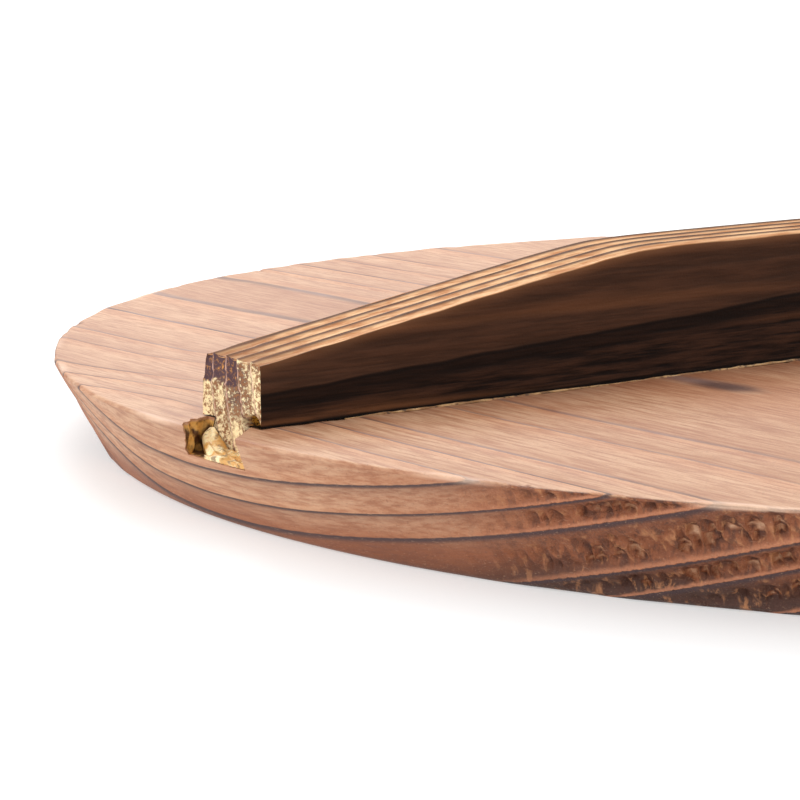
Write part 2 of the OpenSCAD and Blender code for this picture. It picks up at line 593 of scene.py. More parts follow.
    def as_turned(self, point: Vector) -> Vector:
        """Where a brushed point lay before brushing, so that the rings keep smooth edges.

        Args:
            point: Place on the brushed surface.

        Returns:
            The nearest place on the turned surface, or the point itself inside a cut.
        """
        s = self.sizes
        radius = math.hypot(point.x, point.y)
        if self.on_edge(point) and not self.glued(point):
            tilt = math.atan2(s.bevel_run, s.thickness - s.rim_ease)
            lost = (s.edge_r(point.z) - radius) * math.cos(tilt)
            grown = (radius + lost * math.cos(tilt)) / radius
            return Vector((point.x * grown, point.y * grown, point.z - lost * math.sin(tilt)))
        if point.z > s.thickness - 0.9 * MM and radius < s.rim_r - 0.4 * MM:
            return Vector((point.x, point.y, s.thickness))
        return point

    def glued(self, point: Vector) -> float:
        """1 on the walls of the broken-out mouth, where glue has soaked in.

        Args:
            point: Place on the board, in metres.

        Returns:
            1.0 or 0.0.
        """
        s = self.sizes
        inside = s.edge_r(point.z) - math.hypot(point.x, point.y) > 0.75 * MM
        below = point.z < s.thickness - 0.7 * MM
        mouth = point.x < -s.handle_reach + 1 * MM and -19 * MM < point.y < 9 * MM
        return 1.0 if inside and below and mouth and point.z > 5 * MM else 0.0

    def chip_light_and_shade(self, point: Vector) -> float:
        """How deep a place lies in the torn end grain, from 0 on a crest to 1 at the bottom of a chip, for
        the painted highlight on crests and painted shade in chips.

        Args:
            point: Place on the board, in metres.

        Returns:
            A share from 0 to a little over 1.
        """
        place = self.as_turned(point)
        share = self.tearing(place) * self.on_edge(point)
        return lerp(self.whole, self.chip(place) / self.chip_crest, share) if share > 0 else self.whole

    def rim_wear_and_highlight(self, point: Vector) -> float:
        """How far the rim is lightened, from 0 to 1: partly worn back to pale wood, partly a painted
        highlight along the rounded rim.

        Args:
            point: Place on the board, in metres.

        Returns:
            A share from 0 to 1.
        """
        s = self.sizes
        near = math.hypot(point.x, point.y) - (s.rim_r - 1.6 * MM)
        patch = smooth(-0.1, 0.6, drift(point.x * 45.0, point.y * 45.0, 12.0))
        high = smooth(s.thickness - 1.0 * MM, s.thickness - 0.5 * MM, point.z)
        return smooth(0.0, 0.7 * MM, near) * high * patch

    def make(self, extra: list[bpy.types.Object]) -> bpy.types.Object:
        """Builds the finished board.

        Args:
            extra: Further cutters, such as a broken-out mouth.

        Returns:
            The board, riding on the lid and standing for its frame node.
        """
        shape = self.turned()
        self.brush(shape)
        bmesh.ops.edgeloop_fill(shape, edges=[e for e in shape.edges if e.is_boundary])
        bmesh.ops.recalc_face_normals(shape, faces=shape.faces)
        bmesh.ops.triangulate(shape, faces=[f for f in shape.faces if len(f.verts) > 4])
        piece = finish_mesh(f"{self.node}_brushed", shape)
        cut_away(piece, self.cutters() + extra)
        points = [v.co for v in piece.data.vertices]
        readings = {
            "ring": lambda p: self.rings.count_at(self.as_turned(p)),
            "end_grain": lambda p: self.end_grain(p) * self.on_edge(p),
            "scorch_and_shade": self.scorch_and_shade_at, "edge": self.on_edge, "glued": self.glued, "rim_wear_and_highlight": self.rim_wear_and_highlight,
            "chip_light_and_shade": self.chip_light_and_shade,
        }
        for name, reading in readings.items():
            write_attribute(piece, name, [reading(p) for p in points])
        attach(piece, "root")
        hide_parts(self.node)
        return piece


@dataclass
class BrokenMouth:
    """The ragged opening at the left end of the socket, and the glue that set in it."""

    sizes: LidSizes
    outer_x: float = -183 * MM
    near_outer: float = -16.4 * MM
    near_inner: float = -5.3 * MM
    far_outer: float = 0.6 * MM
    far_inner: float = 7.6 * MM
    near_flare: float = 2.2 * MM
    roughness: float = 0.55 * MM
    glue_rise: float = 0.75 * MM
    near_climb: float = 3.3 * MM
    far_climb: float = 4.1 * MM

    @property
    def inner_x(self) -> float:
        """X at which the mouth meets the end of the tongue."""
        return -self.sizes.handle_reach + 0.4 * MM

    def sides(self, depth: float, rise: float) -> tuple[float, float]:
        """Y of the near and the far wall.

        Args:
            depth: 0 at the outer end and 1 at the tongue.
            rise: 0 at the floor and 1 at the lid's top face.

        Returns:
            The two values of Y.
        """
        flare = self.near_flare * (1.0 - rise) * (1.0 - 0.7 * depth)
        near = lerp(self.near_outer, self.near_inner, depth) - flare
        far = lerp(self.far_outer, self.far_inner, smooth(0.0, 0.9, depth))
        return near, far

    def cutter(self) -> bpy.types.Object:
        """A rough block that leaves torn walls when it is taken out of the board."""
        s = self.sizes
        shape = lattice_box(cuts_x=26, cuts_y=34, cuts_z=20)
        top = s.thickness + 1.5 * MM
        for vert in shape.verts:
            u, v, w = vert.co
            z = lerp(s.socket_floor, top, w)
            near, far = self.sides(u, (z - s.socket_floor) / s.socket_depth)
            vert.co = Vector((lerp(self.outer_x, self.inner_x, u), lerp(near, far, v), z))
            rough = noise.noise_vector(vert.co * 420.0) + 0.5 * noise.noise_vector(vert.co * 1100.0)
            inside = smooth(0.0, 0.12, w) * smooth(1.0, 0.85, u)
            wall = abs(2 * v - 1) ** 6
            vert.co.y += self.roughness * rough.y * wall * inside * (1.9 if v > 0.5 else 0.45)
            vert.co.z += 0.12 * MM * rough.z * (1 - w) * smooth(1.0, 0.8, u)
        return close_mesh("mouth_cut", shape)

    def glue(self) -> bpy.types.Object:
        """The set glue: a thin floor that climbs the near wall.

        Returns:
            The glue, riding on the lid and standing for its frame node.
        """
        s = self.sizes
        shape = lattice_box(cuts_x=24, cuts_y=48, cuts_z=10)
        gap = 0.06 * MM
        for vert in shape.verts:
            u, v, w = vert.co
            climb = self.near_climb * math.exp(-((v / 0.17) ** 2))
            climb += self.far_climb * u * u * math.exp(-(((v - 0.88) / 0.26) ** 2))
            lump = 0.45 * MM * drift(u * 3.0, v * 9.0, 2.0)
            height = self.glue_rise + climb * lerp(1.0, 0.75, u) + lump
            z = s.socket_floor + gap + height * w
            near, far = self.sides(u, (z - s.socket_floor) / s.socket_depth)
            y = lerp(near + 0.35 * MM, far - 0.7 * MM, v)
            face = -math.sqrt(max(0.0, (s.edge_r(z) - 0.35 * MM - 0.3 * MM * w) ** 2 - y * y))
            vert.co = Vector((lerp(face, -s.handle_reach - 0.15 * MM, u), y, z))
        piece = close_mesh("glue_plug_left_set", shape)
        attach(piece, "root")
        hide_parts("glue_plug_left")
        return piece


# ---------------------------------------------------------------- the bar handle


@dataclass
class BarHandle:
    """The bar with its sloping ends and its dovetail tongue, with heights above the lid."""

    sizes: LidSizes
    width: float
    height: float
    end_height: float = 10.5 * MM
    level_half: float = 94 * MM
    knee: float = 7 * MM
    step_height: float = 5.8 * MM
    step: float = 0.3 * MM
    lean: float = 0.4 * MM
    tongue_neck: float = 10.4 * MM
    tongue_base: float = 15 * MM
    joint_gap: float = 0.12 * MM
    top_cut: float = 0.62 * MM
    end_cut: float = 0.42 * MM
    end_rough: float = 0.17 * MM
    pocket_depth: float = 3.2 * MM
    wear_reach: float = 1.5 * MM
    wear_depth: float = 0.45 * MM
    sharp_degrees: float = 55.0

    def top_at(self, x: float) -> float:
        """Height of the top above the lid, with the slope blended into the level stretch.

        Args:
            x: Place along the bar.

        Returns:
            Height in metres.
        """
        reach = self.sizes.handle_reach - self.step - self.lean
        slope = (self.height - self.end_height) / (reach - self.level_half)
        drop = slope * (abs(x) - self.level_half)
        return self.height - 0.5 * (drop + math.sqrt(drop * drop + (slope * self.knee) ** 2))

    def end_shift(self, y: float, z: float) -> float:
        """Share of its length that the bar keeps at a place on an end face, whose back half steps in.

        Args:
            y: Place across the bar.
            z: Height above the underside of the lid.

        Returns:
            A share just below 1.
        """
        above = z - self.sizes.thickness
        wander = 0.9 * MM * drift(y * 260.0, 2.0, 6.0)
        behind = smooth(-1.9 * MM, -1.3 * MM, y)
        back = self.step * smooth(self.step_height + wander, self.step_height + wander + 0.4 * MM, above)
        back += self.lean * smooth(self.step_height, self.end_height, above)
        return 1.0 - back * behind / self.sizes.handle_reach

    def station(self, u: float) -> float:
        """X of a cross-section, closer together towards the ends."""
        s = 2 * u - 1
        return self.sizes.handle_reach * (1.42 * s - 0.42 * s ** 3)

    def shaped(self) -> bmesh.types.BMesh:
        """The plain bar and its tongue, before brushing."""
        shape = lattice_box(cuts_x=330, cuts_y=43, cuts_z=31)
        floor = self.sizes.thickness
        for vert in shape.verts:
            u, v, w = vert.co
            x = self.station(u)
            z = floor + self.top_at(x) * w
            y = (v - 0.5) * self.width
            vert.co = Vector((x * self.end_shift(y, z), y, z))
        shape.normal_update()
        half = self.tongue_neck / 2
        under = [f for f in shape.faces if f.normal.z < -0.9 and abs(f.calc_center_median().y) < half]
        grown = bmesh.ops.extrude_face_region(shape, geom=under)
        moved = [g for g in grown["geom"] if isinstance(g, bmesh.types.BMVert)]
        bmesh.ops.delete(shape, geom=under, context="FACES")
        spread = max(abs(v.co.y) for v in moved)
        base = self.sizes.socket_floor + self.joint_gap
        for vert in moved:
            vert.co.y *= self.tongue_base / 2 / spread
            vert.co.z = base
        walls = [e for e in shape.edges if abs(e.verts[0].co.z - e.verts[1].co.z) > 5 * MM
                 and max(e.verts[0].co.z, e.verts[1].co.z) < floor + TINY]
        bmesh.ops.subdivide_edges(shape, edges=walls, cuts=13, use_grid_fill=True)
        bmesh.ops.recalc_face_normals(shape, faces=shape.faces)
        return shape

    def pocket(self, point: Vector) -> float:
        """Depth share of the small hole torn out under the near shoulder of the left end.

        Args:
            point: Place on the left end.

        Returns:
            A share from 0 to 1.
        """
        across = (point.y + 5.7 * MM) / (3.1 * MM)
        up = (point.z - self.sizes.thickness - 0.2 * MM) / (1.7 * MM)
        edge = 0.25 * noise.noise(point * 700.0)
        return 1.0 - smooth(0.55, 1.05, math.hypot(across, up) + edge)

    def zone(self, normal: Vector) -> tuple[float, float]:
        """How far a normal marks the top and an end face, each from 0 to 1."""
        top = smooth(0.5, 0.8, normal.z)
        return top, smooth(0.45, 0.75, abs(normal.x)) * (1.0 - top)

    def brush(self, shape: bmesh.types.BMesh) -> dict[int, tuple[float, float, float]]:
        """Cuts the early wood back between the rings, roughens the ends, sinks the flanks a little and
        pushes in the pocket.

        Args:
            shape: The plain bar.

        Returns:
            Top, end and pocket shares of each vertex by its index.
        """
        shape.normal_update()
        shape.verts.index_update()
        zones, moves = {}, []
        for vert in shape.verts:
            point, normal = vert.co.copy(), vert.normal.copy()
            top, end = self.zone(normal)
            tongue = point.z < self.sizes.thickness - 1e-5
            valley = 1.0 - BAR_RINGS.proud(point)
            rough = noise.noise(point * 350.0) + 0.6 * noise.noise(point * 900.0)
            streak = drift(point.x * 25.0, point.y * 500.0, point.z * 500.0)
            hole = self.pocket(point) if end > 0.3 and point.x < 0 else 0.0
            depth = top * (self.top_cut * valley + 0.06 * MM * streak)
            depth += end * (self.end_cut * valley + self.end_rough * rough)
            depth += (1 - top) * (1 - end) * (0.07 * MM * streak + 0.05 * MM)
            if tongue and end < 0.3:
                depth = 0.0
            moves.append((vert, normal, max(0.0, depth)))
            if hole > 0.0:
                vert.co.x += self.pocket_depth * hole
            zones[vert.index] = (top, end, hole)
        for vert, normal, depth in moves:
            vert.co -= normal * depth
        return zones

    def wear(self, shape: bmesh.types.BMesh) -> None:
        """Rounds the arrises unevenly by pulling their vertices in.

        Args:
            shape: The brushed bar, which is changed.
        """
        half, floor = self.width / 2, self.sizes.thickness
        for vert in shape.verts:
            point = vert.co
            if point.z < floor + 1 * MM:
                continue
            top = floor + self.top_at(point.x)
            side_gap = half - abs(point.y)
            top_gap = top - point.z
            near = max(0.0, 1.0 - (side_gap + top_gap) / self.wear_reach)
            nick = 0.35 + 0.65 * smooth(-0.2, 0.6, drift(point.x * 140.0, point.y * 40.0, 3.0))
            pull = self.wear_depth * near * nick
            point.y -= math.copysign(pull, point.y)
            point.z -= pull

    def arris_highlight(self, point: Vector) -> float:
        """How near a place lies to the top, from 0 to 1, where the flank is lightened as a painted
        highlight on the rounded arris.

        Args:
            point: Place on the bar, in metres.

        Returns:
            A share from 0 to 1.
        """
        gap = self.sizes.thickness + self.top_at(point.x) - point.z
        patch = 0.5 + 0.5 * smooth(-0.4, 0.3, drift(point.x * 35.0, point.y * 8.0, 21.0))
        return smooth(2.6 * MM, 0.4 * MM, gap) * patch

    def make(self) -> bpy.types.Object:
        """Builds the finished handle.

        Returns:
            The handle, riding on the lid and standing for its frame node.
        """
        shape = self.shaped()
        zones = self.brush(shape)
        self.wear(shape)
        piece = finish_mesh("handle_bar_brushed", shape, self.sharp_degrees)
        points = [v.co for v in piece.data.vertices]
        write_attribute(piece, "ring", [BAR_RINGS.count_at(p) for p in points])
        for part, name in enumerate(("top", "end_grain", "pocket")):
            write_attribute(piece, name, [zones[i][part] for i in range(len(points))])
        write_attribute(piece, "arris_highlight", [self.arris_highlight(p) for p in points])
        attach(piece, "root")
        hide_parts("handle_bar")
        return piece


@dataclass
class GlueBead:
    """Glue that squeezed out along the foot of the bar and set unevenly."""

    node: str
    face: Face
    sizes: LidSizes
    bar_width: float
    thinnest: float = 0.04 * MM
    widest: float = 0.55 * MM
    sharp_degrees: float = 60.0

    def make(self) -> bpy.types.Object:
        """Builds the bead.

        Returns:
            The bead, riding on the lid and standing for its frame node.
        """
        low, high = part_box(self.node)
        shape = lattice_box(cuts_x=420, cuts_y=3, cuts_z=3)
        sign = self.face.value
        for vert in shape.verts:
            u, v, w = vert.co
            x = lerp(low.x, high.x, u)
            amount = 0.5 + 0.5 * drift(x * 55.0, sign, 1.0)
            amount = amount * (0.7 + 0.6 * drift(x * 400.0, sign, 7.0))
            taper = smooth(0.0, 0.03, u) * smooth(1.0, 0.97, u)
            run = self.thinnest + self.widest * max(0.0, amount) * taper
            rise = run * (0.85 * (1.0 - v) + 0.05)
            y = self.bar_width / 2 - 0.05 * MM + run * v
            vert.co = Vector((x, sign * y, self.sizes.thickness - 0.12 * MM + (rise + 0.1 * MM) * w))
        piece = close_mesh(f"{self.node}_set", shape, self.sharp_degrees)
        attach(piece, "root")
        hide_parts(self.node)
        return piece


@dataclass
class RightPlug:
    """The film of glue on the floor of the socket's open right end."""

    sizes: LidSizes

    def make(self) -> bpy.types.Object:
        """Builds the film.

        Returns:
            The film, riding on the lid and standing for its frame node.
        """
        s = self.sizes
        low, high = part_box("glue_plug_right")
        shape = lattice_box(cuts_x=20, cuts_y=40, cuts_z=6)
        for vert in shape.verts:
            u, v, w = vert.co
            height = 0.55 * MM + 0.9 * MM * abs(2 * v - 1) ** 5 + 0.2 * MM * drift(u * 4, v * 9, 5)
            z = s.socket_floor + 0.04 * MM + height * w
            y = lerp(low.y + 0.5 * MM, high.y - 0.5 * MM, v) * (1.0 - 0.03 * w)
            face = math.sqrt(max(0.0, (s.edge_r(z) - 0.4 * MM) ** 2 - y * y))
            vert.co = Vector((lerp(s.handle_reach + 0.15 * MM, face, u), y, z))
        piece = close_mesh("glue_plug_right_set", shape)
        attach(piece, "root")
        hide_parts("glue_plug_right")
        return piece


# ---------------------------------------------------------------- materials


@dataclass
class Bench:
    """Puts nodes on a tree and wires them together."""

    tree: bpy.types.NodeTree

    def put(self, kind: str, **settings: object) -> bpy.types.Node:
        """Adds a node and sets its properties.

        Args:
            kind: Type of the node.
            **settings: Properties to set on it.

        Returns:
            The new node.
        """
        node = self.tree.nodes.new(kind)
        for key, value in settings.items():
            setattr(node, key, value)
        return node

    def feed(self, socket: Socket, value: object) -> None:
        """Links a socket to an input, or sets the input's constant.

        Args:
            socket: Input of a node.
            value: A socket to link, a colour or a number.
        """
        if isinstance(value, bpy.types.NodeSocket):
            self.tree.links.new(value, socket)
        elif isinstance(value, tuple) and socket.type == "RGBA":
            socket.default_value = (*value, 1.0)
        else:
            socket.default_value = value

    def maths(self, operation: str, a: object, b: object = 0.0) -> Socket:
        """A Math node's result.

        Args:
            operation: What the node does.
            a: First value or socket.
            b: Second value or socket.

        Returns:
            The result.
        """
        node = self.put("ShaderNodeMath", operation=operation)
        self.feed(node.inputs[0], a)
        self.feed(node.inputs[1], b)
        return node.outputs[0]

    def times(self, a: object, b: object) -> Socket:
        """One value multiplied by another."""
        return self.maths("MULTIPLY", a, b)

    def plus(self, a: object, b: object) -> Socket:
        """One value added to another."""
        return self.maths("ADD", a, b)

    def less(self, a: object, b: object) -> Socket:
        """The first value less the second."""
        return self.maths("SUBTRACT", a, b)

    def axes(self, place: Socket) -> bpy.types.bpy_prop_collection:
        """The X, Y and Z of a place.

        Args:
            place: Socket with a place.

        Returns:
            The sockets by the names X, Y and Z.
        """
        node = self.put("ShaderNodeSeparateXYZ")
        self.feed(node.inputs[0], place)
        return node.outputs

    def between(self, value: object, low: float, high: float) -> Socket:
        """An eased step of a value from low to high.

        Args:
            value: Value or socket.
            low: Value at which the result is 0.
            high: Value at which the result is 1.

        Returns:
            The result.
        """
        node = self.put("ShaderNodeMapRange", interpolation_type="SMOOTHSTEP")
        self.feed(node.inputs["Value"], value)
        node.inputs["From Min"].default_value = low
        node.inputs["From Max"].default_value = high
        return node.outputs["Result"]

    def mix(self, share: object, a: object, b: object, blend: str = "MIX") -> Socket:
        """Two colours mixed by a share.

        Args:
            share: Share of the second colour.
            a: First colour or socket.
            b: Second colour or socket.
            blend: How they are blended.

        Returns:
            The colour socket.
        """
        node = self.put("ShaderNodeMix", data_type="RGBA", blend_type=blend)
        self.feed(node.inputs[0], share)
        self.feed(node.inputs[6], a)
        self.feed(node.inputs[7], b)
        return node.outputs[2]

    def stretched(self, vector: Socket, scale: Scale) -> Socket:
        """Coordinates multiplied axis by axis.

        Args:
            vector: Socket with coordinates.
            scale: Factor on each axis.

        Returns:
            The stretched coordinates.
        """
        node = self.put("ShaderNodeVectorMath", operation="MULTIPLY")
        self.feed(node.inputs[0], vector)
        node.inputs[1].default_value = scale
        return node.outputs[0]

    def clouds(self, vector: Socket, scale: float, detail: float = 3.0, rough: float = 0.55) -> Socket:
        """A noise texture's value.

        Args:
            vector: Socket with coordinates.
            scale: Cells in a unit of the coordinates.
            detail: How many finer layers it has.
            rough: How strong those layers are.

        Returns:
            The value, from 0 to 1.
        """
        node = self.put("ShaderNodeTexNoise")
        self.feed(node.inputs["Vector"], vector)
        node.inputs["Scale"].default_value = scale
        node.inputs["Detail"].default_value = detail
        node.inputs["Roughness"].default_value = rough
        return node.outputs["Fac"]

    def attribute(self, name: str) -> Socket:
        """A number stored on the mesh."""
        return self.put("ShaderNodeAttribute", attribute_name=name).outputs["Fac"]

    def object_place(self) -> Socket:
        """Object coordinates."""
        return self.put("ShaderNodeTexCoord").outputs["Object"]

    def group(self, tree: bpy.types.NodeTree, **inputs: object) -> bpy.types.bpy_prop_collection:
        """Places a node group, feeds its inputs and gives its outputs.

        Args:
            tree: The node group.
            **inputs: Values or sockets for its inputs.

        Returns:
            The outputs by name.
        """
        node = self.put("ShaderNodeGroup", node_tree=tree)
        for key, value in inputs.items():
            self.feed(node.inputs[key], value)
        return node.outputs

    def over(self, base: object, coat: object, value: Socket, low: float, high: float,
             most: float | None = None) -> Socket:
        """Lays one colour over another as a value goes from low to high, at most by a share.

        Args:
            base: Colour underneath.
            coat: Colour laid over it.
            value: What decides how much.
            low: Value at which nothing is laid.
            high: Value at which the most is laid.
            most: Largest share of the coat, or None for all of it.

        Returns:
            The colour socket.
        """
        share = self.between(value, low, high)
        return self.mix(share if most is None else self.times(share, most), base, coat)

    def coat(self, principled: bpy.types.Node, colour: Socket, rough: Socket, normal: Socket) -> None:
        """Feeds a shader's colour, roughness and normal.

        Args:
            principled: The Principled node.
            colour: Base colour.
            rough: Roughness.
            normal: Bumped normal.
        """
        for label, value in (("Base Color", colour), ("Roughness", rough), ("Normal", normal)):
            self.feed(principled.inputs[label], value)

    def bump(self, height: Socket, distance: float, strength: float) -> Socket:
        """A bumped normal.

        Args:
            height: Height of the relief.
            distance: Its depth in metres.
            strength: Share of the bump.

        Returns:
            The normal socket.
        """
        node = self.put("ShaderNodeBump")
        node.inputs["Strength"].default_value = strength
        node.inputs["Distance"].default_value = distance
        self.feed(node.inputs["Height"], height)
        return node.outputs["Normal"]


def new_group(name: str, inputs: dict[str, str], outputs: dict[str, str]) -> tuple[Bench, dict, dict]:
    """Starts a shader node group.

    Args:
        name: Name of the group.
        inputs: Input names with Float, Vector or Color.
        outputs: Output names with Float, Vector or Color.

    Returns:
        The bench, the sockets that bring the inputs, and the sockets that take the outputs.
    """
    tree = bpy.data.node_groups.new(name, "ShaderNodeTree")
    for way, table in (("INPUT", inputs), ("OUTPUT", outputs)):
        for label, kind in table.items():
            tree.interface.new_socket(name=label, in_out=way, socket_type=f"NodeSocket{kind}")
    bench = Bench(tree)
    source = bench.put("NodeGroupInput")
    sink = bench.put("NodeGroupOutput")
    return bench, {k: source.outputs[k] for k in inputs}, {k: sink.inputs[k] for k in outputs}


def ring_group() -> bpy.types.NodeTree:
    """Node group that turns a ring count into late wood, its dark line, a strip just past each ring's edge
    for a painted highlight, and a tone for each year.
    """
    bench, inside, out = new_group(
        "growth_rings", {"Ring": "Float", "Wobble": "Float", "Vector": "Vector"},
        dict.fromkeys(("Late", "Line", "Hair", "Early", "LipHighlight", "Tone"), "Float"),
    )
    shake = bench.less(bench.clouds(inside["Vector"], 1.0, 4.0, 0.6), 0.5)
    count = bench.plus(inside["Ring"], bench.times(shake, inside["Wobble"]))
    part = bench.maths("FRACT", count)
    year = bench.maths("FLOOR", count)
    fade = bench.less(1.0, bench.between(part, 0.975, 1.0))
    bench.feed(out["Late"], bench.times(bench.between(part, 0.5, 0.97), fade))
    bench.feed(out["Line"], bench.times(bench.between(part, 0.84, 0.95), fade))
    bench.feed(out["Hair"], bench.times(bench.between(part, 0.90, 0.955), fade))
    bench.feed(out["Early"], bench.less(1.0, bench.between(part, 0.0, 0.3)))
    bench.feed(out["LipHighlight"], bench.less(1.0, bench.between(part, 0.03, 0.1)))
    dice = bench.put("ShaderNodeTexWhiteNoise", noise_dimensions="1D")
    bench.feed(dice.inputs["W"], year)
    bench.feed(out["Tone"], dice.outputs["Value"])
    return bench.tree


def fibre_group() -> bpy.types.NodeTree:
    """Node group of long fibres and fine pores on coordinates stretched along the grain."""
    bench, inside, out = new_group("wood_fibre", {"Vector": "Vector"}, {"Fibre": "Float", "Pore": "Float"})
    vector = inside["Vector"]
    bench.feed(out["Fibre"], bench.clouds(vector, 1.0, 5.0, 0.62))
    bench.feed(out["Pore"], bench.clouds(vector, 4.2, 2.0, 0.5))
    return bench.tree


def shader(name: str) -> tuple[bpy.types.Material, Bench, bpy.types.Node]:
    """A new material with a Principled shader.

    Args:
        name: Name of the material.

    Returns:
        The material, its bench and its Principled node.
    """
    material = bpy.data.materials.new(name)
    material.use_nodes = True
    bench = Bench(material.node_tree)
    principled = next(n for n in material.node_tree.nodes if n.type == "BSDF_PRINCIPLED")
    return material, bench, principled


@dataclass(frozen=True)
class BoardFinish:
    """Scorched and brushed fir, paler on the sanded top than on the bevel."""

    rings: bpy.types.NodeTree
    fibre: bpy.types.NodeTree
    fibre_scale: Scale = (1400.0, 110.0, 1400.0)
    pale: Colour = srgb(209, 169, 136)
    tan: Colour = srgb(185, 132, 97)
    brown: Colour = srgb(146, 84, 50)
    dark: Colour = srgb(72, 42, 30)
    # Painted highlight for chip crests and painted shade for chip bottoms in the torn end grain.
    crest_highlight: Colour = srgb(178, 120, 78)
    # Colour of the painted highlight on the proud lip past each ring's edge.
    lip_highlight_colour: Colour = srgb(184, 120, 86)
    chip_shade: Colour = srgb(72, 38, 26)
    late: Colour = srgb(62, 42, 44)
    # Grey of a painted sheen on the ring lines.
    late_sheen: Colour = srgb(132, 116, 116)
    early: Colour = srgb(202, 134, 90)
    # Pale wood of the worn rim, also used as its painted highlight.
    bare_and_highlight: Colour = srgb(232, 198, 172)
    soaked: Colour = srgb(88, 54, 24)
    soaked_pale: Colour = srgb(224, 172, 92)
    specular: float = 0.42
    relief: float = 0.16 * MM

    def make(self) -> bpy.types.Material:
        """Builds the material."""
        material, bench, principled = shader("scorched_fir")
        place = bench.object_place()
        scorch_and_shade, edge = bench.attribute("scorch_and_shade"), bench.attribute("edge")
        end = bench.attribute("end_grain")
        fibre = bench.group(self.fibre, Vector=bench.stretched(place, self.fibre_scale))
        rings = bench.group(self.rings, Ring=bench.attribute("ring"), Wobble=0.02,
                            Vector=bench.stretched(place, (260.0, 60.0, 260.0)))
        grit = bench.clouds(place, 2600.0, 2.0, 0.6)
        body = bench.over(self.tan, self.pale, fibre["Fibre"], 0.3, 0.72)
        warm = bench.mix(bench.times(rings["Early"], 0.32), body, self.early)
        # The scorch mask here also carries painted shade on one side of the bevel.
        burnt_with_painted_light = bench.over(warm, self.brown, scorch_and_shade, 0.05, 0.62)
        burnt_with_painted_light = bench.over(burnt_with_painted_light, self.dark, scorch_and_shade, 0.5, 1.0)
        streak = bench.times(bench.between(fibre["Fibre"], 0.62, 0.3), 0.26)
        burnt_with_painted_light = bench.mix(streak, burnt_with_painted_light, self.brown, "MULTIPLY")
        # Painted highlight on the chip crests and painted shade at the chip bottoms, set by how deep each
        # place lies.
        chip_light_and_shade = bench.attribute("chip_light_and_shade")
        burnt_with_painted_light = bench.over(burnt_with_painted_light, self.crest_highlight, chip_light_and_shade, 0.35, 0.0)
        burnt_with_painted_light = bench.over(burnt_with_painted_light, self.chip_shade, chip_light_and_shade, 0.45, 1.0)
        wrinkle = bench.clouds(bench.stretched(place, (620.0, 620.0, 260.0)), 1.0, 3.0, 0.6)
        # Painted shade in the wrinkle hollows and painted highlight on the wrinkle ridges of the end
        # grain, where the bump raises the same wrinkles.
        wrinkle_shade = bench.times(bench.between(wrinkle, 0.5, 0.36), 0.65)
        burnt_with_painted_light = bench.mix(bench.times(end, wrinkle_shade), burnt_with_painted_light, self.chip_shade)
        wrinkle_highlight = bench.times(bench.between(wrinkle, 0.57, 0.68), 0.7)
        burnt_with_painted_light = bench.mix(bench.times(end, wrinkle_highlight), burnt_with_painted_light, self.crest_highlight)
        shade = bench.times(rings["Late"], 0.3)
        toned = bench.mix(shade, burnt_with_painted_light, bench.mix(edge, self.brown, self.dark))
        fine_line = bench.mix(edge, rings["Hair"], rings["Line"])
        cover = bench.times(fine_line, bench.between(bench.clouds(place, 38.0, 2.0), 0.2, 0.5))
        strength = bench.plus(0.4, bench.times(rings["Tone"], 0.6))
        cover = bench.times(cover, bench.mix(edge, strength, (1.0, 1.0, 1.0)))
        # Painted highlight on the proud lip just past each ring's edge in the end grain.
        lip_highlight = bench.times(bench.times(rings["LipHighlight"], end), 0.7)
        # Painted reflection: in patches on the flat faces, the dark ring lines are turned grey as a sheen.
        sheen_patch = bench.times(bench.between(bench.clouds(place, 30.0, 2.0), 0.44, 0.62),
                            bench.less(1.0, edge))
        line = bench.mix(bench.times(sheen_patch, 0.75), self.late, self.late_sheen)
        lined = bench.mix(bench.times(cover, 0.93), bench.mix(lip_highlight, toned, self.lip_highlight_colour), line)
        speck = bench.times(bench.between(grit, 0.56, 0.75), 0.3)
        final = bench.mix(speck, lined, self.dark)
        light_speck = bench.times(bench.between(fibre["Pore"], 0.6, 0.78), 0.3)
        final = bench.mix(light_speck, final, self.pale)
        # Worn pale rim together with a painted highlight along it.
        final = bench.mix(bench.times(bench.attribute("rim_wear_and_highlight"), 0.85), final, self.bare_and_highlight)
        soaked = bench.over(self.soaked, self.soaked_pale, bench.clouds(place, 420.0, 3.0), 0.42, 0.62)
        final = bench.mix(bench.attribute("glued"), final, soaked)
        rough = bench.plus(0.46, bench.times(fibre["Fibre"], 0.22))
        rough = bench.plus(rough, bench.times(end, 0.06))
        principled.inputs["Specular IOR Level"].default_value = self.specular
        relief = bench.times(fibre["Fibre"], 0.75)
        relief = bench.plus(relief, bench.times(grit, bench.plus(0.35, end)))
        relief = bench.plus(relief, bench.times(rings["Late"], 0.8))
        relief = bench.plus(relief, bench.times(bench.times(wrinkle, end), 3.0))
        bench.coat(principled, final, rough, bench.bump(relief, self.relief, 0.85))
        return material


